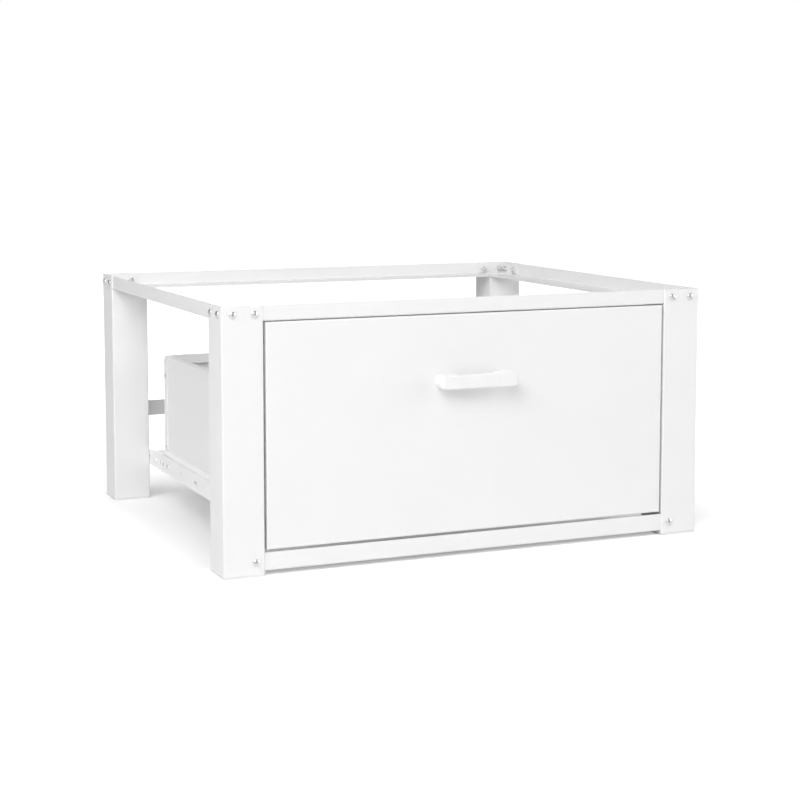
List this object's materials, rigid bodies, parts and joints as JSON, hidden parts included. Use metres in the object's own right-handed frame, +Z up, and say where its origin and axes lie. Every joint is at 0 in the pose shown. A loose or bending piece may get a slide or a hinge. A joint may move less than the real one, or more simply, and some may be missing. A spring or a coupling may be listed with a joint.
{
  "type": "washer pedestal drawer",
  "caption": "Low white steel pedestal that a front-loading washing machine stands on, with a full-width storage drawer on roller slides and a bridge handle.",
  "frame": {"origin": "on the floor, under the middle of the whole object with handle and screw heads", "axes": "+Z up, the drawer front and handle face -Y, +X to the right of a person facing the drawer from the front"},
  "size_m": [0.6356, 0.5638, 0.313],
  "materials": {
    "powder_coat": "white powder coat, fine orange peel, satin",
    "handle_plastic": "white moulded plastic, satin",
    "nylon": "natural nylon, smooth",
    "foot_plastic": "pale grey moulded plastic, satin",
    "zinc": "bright zinc plated"
  },
  "bodies": {
    "frame": {"post_front_left": "powder_coat", "post_front_right": "powder_coat", "post_rear_left": "powder_coat", "post_rear_right": "powder_coat", "foot_cap_front_left": "foot_plastic", "foot_cap_front_right": "foot_plastic", "foot_cap_rear_left": "foot_plastic", "foot_cap_rear_right": "foot_plastic", "rail_top_front": "powder_coat", "rail_top_rear": "powder_coat", "rail_top_left": "powder_coat", "rail_top_right": "powder_coat", "corner_bracket_front_left": "powder_coat", "corner_bracket_front_right": "powder_coat", "corner_bracket_rear_left": "powder_coat", "corner_bracket_rear_right": "powder_coat", "rail_bottom_front": "powder_coat", "cross_bar_rear": "powder_coat", "frame_bolts": "zinc", "frame_nuts": "zinc", "slide_cabinet_left": "powder_coat", "slide_cabinet_right": "powder_coat", "slide_screws": "zinc", "roller_pins_frame": "zinc"},
    "drawer": {"drawer_front": "powder_coat", "drawer_inner_front": "powder_coat", "drawer_back": "powder_coat", "drawer_side_left": "powder_coat", "drawer_side_right": "powder_coat", "drawer_bottom": "powder_coat", "slide_drawer_left": "powder_coat", "slide_drawer_right": "powder_coat", "roller_pins_drawer": "zinc", "drawer_screws": "zinc", "slide_drawer_screws": "zinc", "handle": "handle_plastic", "handle_screws": "zinc"},
    "front_roller_left": {"roller_front_left": "nylon"},
    "front_roller_right": {"roller_front_right": "nylon"},
    "rear_roller_left": {"roller_rear_left": "nylon"},
    "rear_roller_right": {"roller_rear_right": "nylon"}
  },
  "joints": [
    {"name": "drawer_slide", "type": "slide", "parent": "frame", "child": "drawer", "axis": [0, -1, 0], "range_m": [0, 0.34]},
    {"name": "front_roller_left_spin", "type": "hinge", "parent": "frame", "child": "front_roller_left", "pos_m": [-0.2588, -0.2239, 0.0625], "axis": [1, 0, 0], "continuous": true},
    {"name": "front_roller_right_spin", "type": "hinge", "parent": "frame", "child": "front_roller_right", "pos_m": [0.2588, -0.2239, 0.0625], "axis": [1, 0, 0], "continuous": true},
    {"name": "rear_roller_left_spin", "type": "hinge", "parent": "drawer", "child": "rear_roller_left", "pos_m": [-0.259, 0.1791, 0.0597], "axis": [1, 0, 0], "continuous": true},
    {"name": "rear_roller_right_spin", "type": "hinge", "parent": "drawer", "child": "rear_roller_right", "pos_m": [0.259, 0.1791, 0.0597], "axis": [1, 0, 0], "continuous": true}
  ],
  "couplings": [
    {"joint": "front_roller_left_spin", "follows": "drawer_slide", "rad_per_m": 103.09},
    {"joint": "front_roller_right_spin", "follows": "drawer_slide", "rad_per_m": 103.09},
    {"joint": "rear_roller_left_spin", "follows": "drawer_slide", "rad_per_m": 103.09},
    {"joint": "rear_roller_right_spin", "follows": "drawer_slide", "rad_per_m": 103.09}
  ]
}
